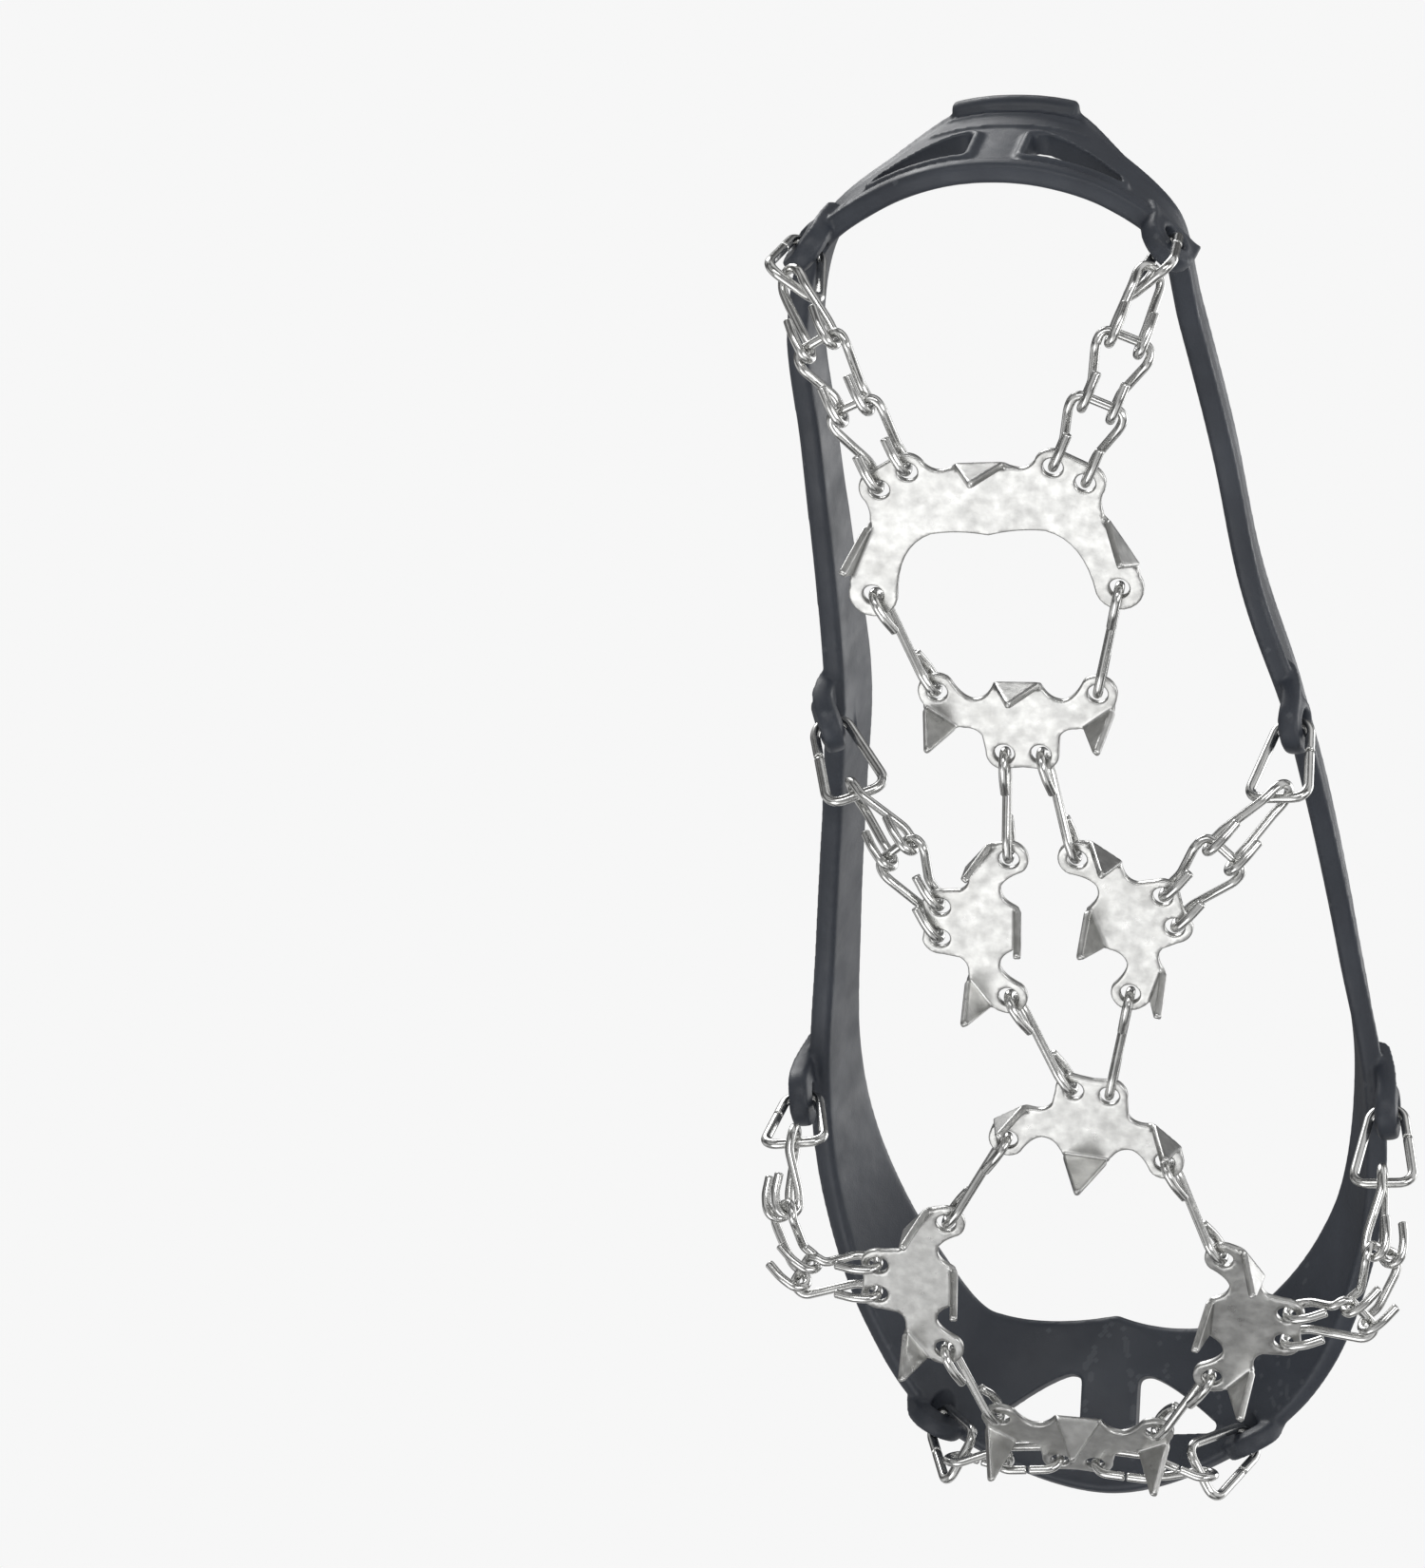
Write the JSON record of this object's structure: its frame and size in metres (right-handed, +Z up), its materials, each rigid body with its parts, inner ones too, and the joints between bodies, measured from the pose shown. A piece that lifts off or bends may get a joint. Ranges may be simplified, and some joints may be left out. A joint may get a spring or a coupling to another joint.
{
  "type": "shoe ice cleats",
  "caption": "Ice cleat for one shoe: a stretch rubber harness that carries a linked net of spiked steel plates under the sole, hung from wire rings.",
  "frame": {"origin": "middle of the sole's contact plane: between the heel and the toe lengthways, on the shoe's long axis, where the shoe's outsole rests on the net", "axes": "+Y points to the toe, +X to the wearer's right, +Z up into the shoe; the spikes point to -Z"},
  "size_m": [0.1344, 0.308, 0.0823],
  "materials": {
    "harness_rubber": "satin",
    "plate_steel": "satin",
    "wire_steel": "polished"
  },
  "bodies": {
    "harness": {"harness": "harness_rubber"},
    "net": {"heel_plate": "plate_steel"},
    "heel_chain_left_3": {"heel_chain_left_3": "wire_steel"},
    "heel_chain_left_2": {"heel_chain_left_2": "wire_steel"},
    "heel_chain_left_1": {"heel_chain_left_1": "wire_steel"},
    "heel_ring_left": {"heel_ring_left": "wire_steel"},
    "heel_chain_right_3": {"heel_chain_right_3": "wire_steel"},
    "heel_chain_right_2": {"heel_chain_right_2": "wire_steel"},
    "heel_chain_right_1": {"heel_chain_right_1": "wire_steel"},
    "heel_ring_right": {"heel_ring_right": "wire_steel"},
    "arch_chain_left_2": {"arch_chain_left_2": "wire_steel"},
    "arch_chain_left_1": {"arch_chain_left_1": "wire_steel"},
    "arch_ring_left": {"arch_ring_left": "wire_steel"},
    "arch_chain_right_2": {"arch_chain_right_2": "wire_steel"},
    "arch_chain_right_1": {"arch_chain_right_1": "wire_steel"},
    "arch_ring_right": {"arch_ring_right": "wire_steel"},
    "fore_chain_left_3": {"fore_chain_left_3": "wire_steel"},
    "fore_chain_left_2": {"fore_chain_left_2": "wire_steel"},
    "fore_chain_left_1": {"fore_chain_left_1": "wire_steel"},
    "fore_ring_left": {"fore_ring_left": "wire_steel"},
    "fore_chain_right_3": {"fore_chain_right_3": "wire_steel"},
    "fore_chain_right_2": {"fore_chain_right_2": "wire_steel"},
    "fore_chain_right_1": {"fore_chain_right_1": "wire_steel"},
    "fore_ring_right": {"fore_ring_right": "wire_steel"},
    "toe_ring_left": {"toe_ring_left": "wire_steel"},
    "toe_oval_left_2": {"toe_oval_left_2": "wire_steel"},
    "toe_oval_left_1": {"toe_oval_left_1": "wire_steel"},
    "toe_ring_right": {"toe_ring_right": "wire_steel"},
    "toe_oval_right_2": {"toe_oval_right_2": "wire_steel"},
    "toe_oval_right_1": {"toe_oval_right_1": "wire_steel"},
    "arch_plate": {"arch_plate": "plate_steel"},
    "ball_plate_left": {"ball_plate_left": "plate_steel"},
    "ball_plate_right": {"ball_plate_right": "plate_steel"},
    "centre_plate": {"centre_plate": "plate_steel"},
    "side_plate_left": {"side_plate_left": "plate_steel"},
    "side_plate_right": {"side_plate_right": "plate_steel"},
    "toe_plate": {"toe_plate": "plate_steel"},
    "heel_link_left": {"heel_link_left": "wire_steel"},
    "heel_link_right": {"heel_link_right": "wire_steel"},
    "arch_link_left": {"arch_link_left": "wire_steel"},
    "arch_link_right": {"arch_link_right": "wire_steel"},
    "ball_link_left": {"ball_link_left": "wire_steel"},
    "ball_link_right": {"ball_link_right": "wire_steel"},
    "centre_link_left": {"centre_link_left": "wire_steel"},
    "centre_link_right": {"centre_link_right": "wire_steel"},
    "side_link_left": {"side_link_left": "wire_steel"},
    "side_link_right": {"side_link_right": "wire_steel"}
  },
  "joints": [
    {"name": "net_shift", "type": "slide", "parent": "harness", "child": "net", "axis": [0, 1, 0], "range_m": [-0.003, 0.0012]},
    {"name": "heel_ring_left_swing", "type": "hinge", "parent": "harness", "child": "heel_ring_left", "pos_m": [-0.037, -0.154, 0.0296], "axis": [-0.7789, -0.6265, 0.0295], "range_deg": [-2.27, 4.93]},
    {"name": "heel_chain_left_3_fold", "type": "hinge", "parent": "net", "child": "heel_chain_left_3", "pos_m": [-0.01849, -0.12231, -0.0036], "axis": [0.8323, -0.5543, 0], "range_deg": [-2.54, 5.59]},
    {"name": "heel_chain_left_2_fold", "type": "hinge", "parent": "heel_chain_left_3", "child": "heel_chain_left_2", "pos_m": [-0.0247, -0.1356, -0.0024], "axis": [0.9033, -0.4289, 0], "range_deg": [-4.45, 2.08]},
    {"name": "heel_chain_left_1_fold", "type": "hinge", "parent": "heel_chain_left_2", "child": "heel_chain_left_1", "pos_m": [-0.0308, -0.1482, 0.0006], "axis": [0.8572, -0.5149, 0.0004], "range_deg": [-13.48, 5.69]},
    {"name": "heel_ring_right_swing", "type": "hinge", "parent": "harness", "child": "heel_ring_right", "pos_m": [0.0342, -0.1543, 0.0296], "axis": [0.7787, -0.6271, 0.0165], "range_deg": [-4.9, 2.26]},
    {"name": "heel_chain_right_3_fold", "type": "hinge", "parent": "net", "child": "heel_chain_right_3", "pos_m": [0.01842, -0.12351, -0.0036], "axis": [0.869, 0.4949, 0], "range_deg": [-2.36, 5.15]},
    {"name": "heel_chain_right_2_fold", "type": "hinge", "parent": "heel_chain_right_3", "child": "heel_chain_right_2", "pos_m": [0.0245, -0.1363, -0.0024], "axis": [0.9043, 0.4269, 0], "range_deg": [-4.88, 2.25]},
    {"name": "heel_chain_right_1_fold", "type": "hinge", "parent": "heel_chain_right_2", "child": "heel_chain_right_1", "pos_m": [0.0304, -0.1489, 0.0006], "axis": [0.8936, 0.4452, 0.0569], "range_deg": [-12.56, 5.33]},
    {"name": "arch_ring_left_swing", "type": "hinge", "parent": "harness", "child": "arch_ring_left", "pos_m": [-0.042, -0.0485, 0.026], "axis": [-0.9103, 0.1811, -0.3722], "range_deg": [-3.79, 8.72]},
    {"name": "arch_chain_left_2_fold", "type": "hinge", "parent": "net", "child": "arch_chain_left_2", "pos_m": [-0.01795, -0.02219, -0.0036], "axis": [0.0872, -0.9962, 0], "range_deg": [-1.5, 1.5]},
    {"name": "arch_chain_left_1_fold", "type": "hinge", "parent": "arch_chain_left_2", "child": "arch_chain_left_1", "pos_m": [-0.025, -0.035, -0.0008], "axis": [0.7729, -0.6338, -0.0293], "range_deg": [-2.26, 2.26]},
    {"name": "arch_ring_right_swing", "type": "hinge", "parent": "harness", "child": "arch_ring_right", "pos_m": [0.0526, -0.049, 0.026], "axis": [0.9878, -0.097, -0.122], "range_deg": [-9.06, 3.92]},
    {"name": "arch_chain_right_2_fold", "type": "hinge", "parent": "net", "child": "arch_chain_right_2", "pos_m": [0.03129, -0.02474, -0.0036], "axis": [0.2588, 0.9659, 0], "range_deg": [-1.5, 1.5]},
    {"name": "arch_chain_right_1_fold", "type": "hinge", "parent": "arch_chain_right_2", "child": "arch_chain_right_1", "pos_m": [0.0415, -0.035, -0.001], "axis": [0.6748, 0.7379, -0.0133], "range_deg": [-2.81, 2.81]},
    {"name": "fore_ring_left_swing", "type": "hinge", "parent": "harness", "child": "fore_ring_left", "pos_m": [-0.057, 0.044, 0.0325], "axis": [-0.9958, 0.0468, -0.0789], "range_deg": [-3.99, 9.22]},
    {"name": "fore_chain_left_3_fold", "type": "hinge", "parent": "net", "child": "fore_chain_left_3", "pos_m": [-0.03942, 0.06479, -0.00341], "axis": [0.1045, -0.9921, -0.0694], "range_deg": [-3, 3]},
    {"name": "fore_chain_left_2_fold", "type": "hinge", "parent": "fore_chain_left_3", "child": "fore_chain_left_2", "pos_m": [-0.053, 0.0638, -0.0024], "axis": [0.4922, -0.851, -0.1833], "range_deg": [-6.48, 6.48]},
    {"name": "fore_chain_left_1_fold", "type": "hinge", "parent": "fore_chain_left_2", "child": "fore_chain_left_1", "pos_m": [-0.0568, 0.052, 0.0034], "axis": [0.4974, -0.5593, -0.6632], "range_deg": [-5.48, 5.48]},
    {"name": "fore_ring_right_swing", "type": "hinge", "parent": "harness", "child": "fore_ring_right", "pos_m": [0.0638, 0.047, 0.0352], "axis": [0.9985, 0.0021, 0.055], "range_deg": [-9.19, 3.97]},
    {"name": "fore_chain_right_3_fold", "type": "hinge", "parent": "net", "child": "fore_chain_right_3", "pos_m": [0.04826, 0.07526, -0.00225], "axis": [-0.165, 0.9767, 0.1373], "range_deg": [-3, 3]},
    {"name": "fore_chain_right_2_fold", "type": "hinge", "parent": "fore_chain_right_3", "child": "fore_chain_right_2", "pos_m": [0.0618, 0.0724, -0.0016], "axis": [0.5099, 0.839, 0.1899], "range_deg": [-3.54, 3.54]},
    {"name": "fore_chain_right_1_fold", "type": "hinge", "parent": "fore_chain_right_2", "child": "fore_chain_right_1", "pos_m": [0.0658, 0.0618, 0.0058], "axis": [0.4568, 0.6483, 0.6091], "range_deg": [-1.42, 1.42]},
    {"name": "toe_ring_left_swing", "type": "hinge", "parent": "harness", "child": "toe_ring_left", "pos_m": [-0.0345, 0.1195, 0.0275], "axis": [-0.4957, 0.8161, -0.2971], "range_deg": [-1.14, 0.76]},
    {"name": "toe_oval_left_2_yaw", "type": "hinge", "parent": "net", "child": "toe_oval_left_2", "pos_m": [-0.00592, 0.11791, 0.01147], "axis": [-0.0577, -0.3992, 0.9151], "range_deg": [-8.36, 3.64]},
    {"name": "toe_oval_left_1_yaw", "type": "hinge", "parent": "toe_oval_left_2", "child": "toe_oval_left_1", "pos_m": [-0.01771, 0.11796, 0.01074], "axis": [-0.0577, -0.3992, 0.9151], "range_deg": [-0.79, 0.62]},
    {"name": "toe_ring_right_swing", "type": "hinge", "parent": "harness", "child": "toe_ring_right", "pos_m": [0.0315, 0.123, 0.0275], "axis": [0.441, 0.8339, -0.3318], "range_deg": [-1.04, 1.85]},
    {"name": "toe_oval_right_2_yaw", "type": "hinge", "parent": "net", "child": "toe_oval_right_2", "pos_m": [0.00132, 0.11878, 0.01185], "axis": [0.0969, -0.3935, 0.9142], "range_deg": [-3.59, 8.23]},
    {"name": "toe_oval_right_1_yaw", "type": "hinge", "parent": "toe_oval_right_2", "child": "toe_oval_right_1", "pos_m": [0.0138, 0.1197, 0.01091], "axis": [0.0969, -0.3935, 0.9142], "range_deg": [-0.6, 0.75]},
    {"name": "arch_plate_rock", "type": "hinge", "parent": "net", "child": "arch_plate", "pos_m": [0.00316, -0.0682, -0.0036], "axis": [1, 0.0087, 0], "range_deg": [-1.5, 1.5]},
    {"name": "ball_plate_left_rock", "type": "hinge", "parent": "net", "child": "ball_plate_left", "pos_m": [-0.01795, -0.02219, -0.0036], "axis": [0.0872, -0.9962, 0], "range_deg": [-1.5, 1.5]},
    {"name": "ball_plate_right_rock", "type": "hinge", "parent": "net", "child": "ball_plate_right", "pos_m": [0.03129, -0.02474, -0.0036], "axis": [0.2588, 0.9659, 0], "range_deg": [-1.5, 1.5]},
    {"name": "centre_plate_rock", "type": "hinge", "parent": "net", "child": "centre_plate", "pos_m": [0.0092, 0.02875, -0.0036], "axis": [0.9877, 0.1564, 0], "range_deg": [-1.5, 1.5]},
    {"name": "side_plate_left_rock", "type": "hinge", "parent": "net", "child": "side_plate_left", "pos_m": [-0.03942, 0.06479, -0.00341], "axis": [0.1045, -0.9921, -0.0694], "range_deg": [-1.5, 1.5]},
    {"name": "side_plate_right_rock", "type": "hinge", "parent": "net", "child": "side_plate_right", "pos_m": [0.04826, 0.07526, -0.00225], "axis": [-0.165, 0.9767, 0.1373], "range_deg": [-1.5, 1.5]},
    {"name": "toe_plate_rock", "type": "hinge", "parent": "net", "child": "toe_plate", "pos_m": [-0.00109, 0.10989, 0.00798], "axis": [0.9914, 0.1197, 0.052], "range_deg": [-1.5, 1.5]},
    {"name": "heel_link_left_roll", "type": "hinge", "parent": "net", "child": "heel_link_left", "pos_m": [-0.01822, -0.08375, -0.0036], "axis": [0.4452, 0.8954, 0], "range_deg": [-12, 12]},
    {"name": "heel_link_right_roll", "type": "hinge", "parent": "net", "child": "heel_link_right", "pos_m": [0.02226, -0.08446, -0.0036], "axis": [-0.2491, 0.9685, 0], "range_deg": [-12, 12]},
    {"name": "arch_link_left_roll", "type": "hinge", "parent": "net", "child": "arch_link_left", "pos_m": [-0.00109, -0.04684, -0.0036], "axis": [-0.0428, 0.9991, 0], "range_deg": [-12, 12]},
    {"name": "arch_link_right_roll", "type": "hinge", "parent": "net", "child": "arch_link_right", "pos_m": [0.00939, -0.04686, -0.0036], "axis": [0.2167, 0.9762, 0], "range_deg": [-12, 12]},
    {"name": "ball_link_left_roll", "type": "hinge", "parent": "net", "child": "ball_link_left", "pos_m": [0.00133, 0.00807, -0.0036], "axis": [0.4639, 0.8859, 0], "range_deg": [-12, 12]},
    {"name": "ball_link_right_roll", "type": "hinge", "parent": "net", "child": "ball_link_right", "pos_m": [0.0173, 0.0081, -0.0036], "axis": [-0.2446, 0.9696, 0], "range_deg": [-12, 12]},
    {"name": "centre_link_left_roll", "type": "hinge", "parent": "net", "child": "centre_link_left", "pos_m": [-0.01442, 0.04061, -0.004], "axis": [-0.5826, 0.8121, -0.0332], "range_deg": [-12, 12]},
    {"name": "centre_link_right_roll", "type": "hinge", "parent": "net", "child": "centre_link_right", "pos_m": [0.02957, 0.04679, -0.00415], "axis": [0.4289, 0.9023, -0.0446], "range_deg": [-12, 12]},
    {"name": "side_link_left_roll", "type": "hinge", "parent": "net", "child": "side_link_left", "pos_m": [-0.02062, 0.09308, 0.00159], "axis": [0.3484, 0.8848, 0.3094], "range_deg": [-12, 12]},
    {"name": "side_link_right_roll", "type": "hinge", "parent": "net", "child": "side_link_right", "pos_m": [0.02246, 0.09842, 0.00336], "axis": [-0.5791, 0.7583, 0.2993], "range_deg": [-12, 12]}
  ],
  "couplings": [
    {"joint": "heel_ring_left_swing", "follows": "net_shift", "rad_per_m": -25.777},
    {"joint": "heel_chain_left_3_fold", "follows": "net_shift", "rad_per_m": -29.628},
    {"joint": "heel_chain_left_2_fold", "follows": "net_shift", "rad_per_m": 23.001},
    {"joint": "heel_chain_left_1_fold", "follows": "net_shift", "rad_per_m": 75.498},
    {"joint": "heel_ring_right_swing", "follows": "net_shift", "rad_per_m": 25.587},
    {"joint": "heel_chain_right_3_fold", "follows": "net_shift", "rad_per_m": -27.064},
    {"joint": "heel_chain_right_2_fold", "follows": "net_shift", "rad_per_m": 25.478},
    {"joint": "heel_chain_right_1_fold", "follows": "net_shift", "rad_per_m": 70.18},
    {"joint": "arch_ring_left_swing", "follows": "net_shift", "rad_per_m": -47.834},
    {"joint": "arch_chain_left_1_fold", "follows": "arch_chain_left_2_fold", "ratio": -1.3063},
    {"joint": "arch_ring_right_swing", "follows": "net_shift", "rad_per_m": 49.784},
    {"joint": "arch_chain_right_1_fold", "follows": "arch_chain_right_2_fold", "ratio": -1.6752},
    {"joint": "fore_ring_left_swing", "follows": "net_shift", "rad_per_m": -50.719},
    {"joint": "fore_chain_left_2_fold", "follows": "fore_chain_left_3_fold", "ratio": -2.0599},
    {"joint": "fore_chain_left_1_fold", "follows": "fore_chain_left_3_fold", "ratio": 1.7281},
    {"joint": "fore_ring_right_swing", "follows": "net_shift", "rad_per_m": 50.541},
    {"joint": "fore_chain_right_2_fold", "follows": "fore_chain_right_3_fold", "ratio": -1.0788},
    {"joint": "fore_chain_right_1_fold", "follows": "fore_chain_right_3_fold", "ratio": 0.3721},
    {"joint": "toe_ring_left_swing", "follows": "net_shift", "rad_per_m": 3.7168},
    {"joint": "toe_oval_left_2_yaw", "follows": "net_shift", "rad_per_m": 45.702},
    {"joint": "toe_oval_left_1_yaw", "follows": "net_shift", "rad_per_m": 1.6778},
    {"joint": "toe_ring_right_swing", "follows": "net_shift", "rad_per_m": -7.8527},
    {"joint": "toe_oval_right_2_yaw", "follows": "net_shift", "rad_per_m": -44.978},
    {"joint": "toe_oval_right_1_yaw", "follows": "net_shift", "rad_per_m": -1.4555}
  ]
}
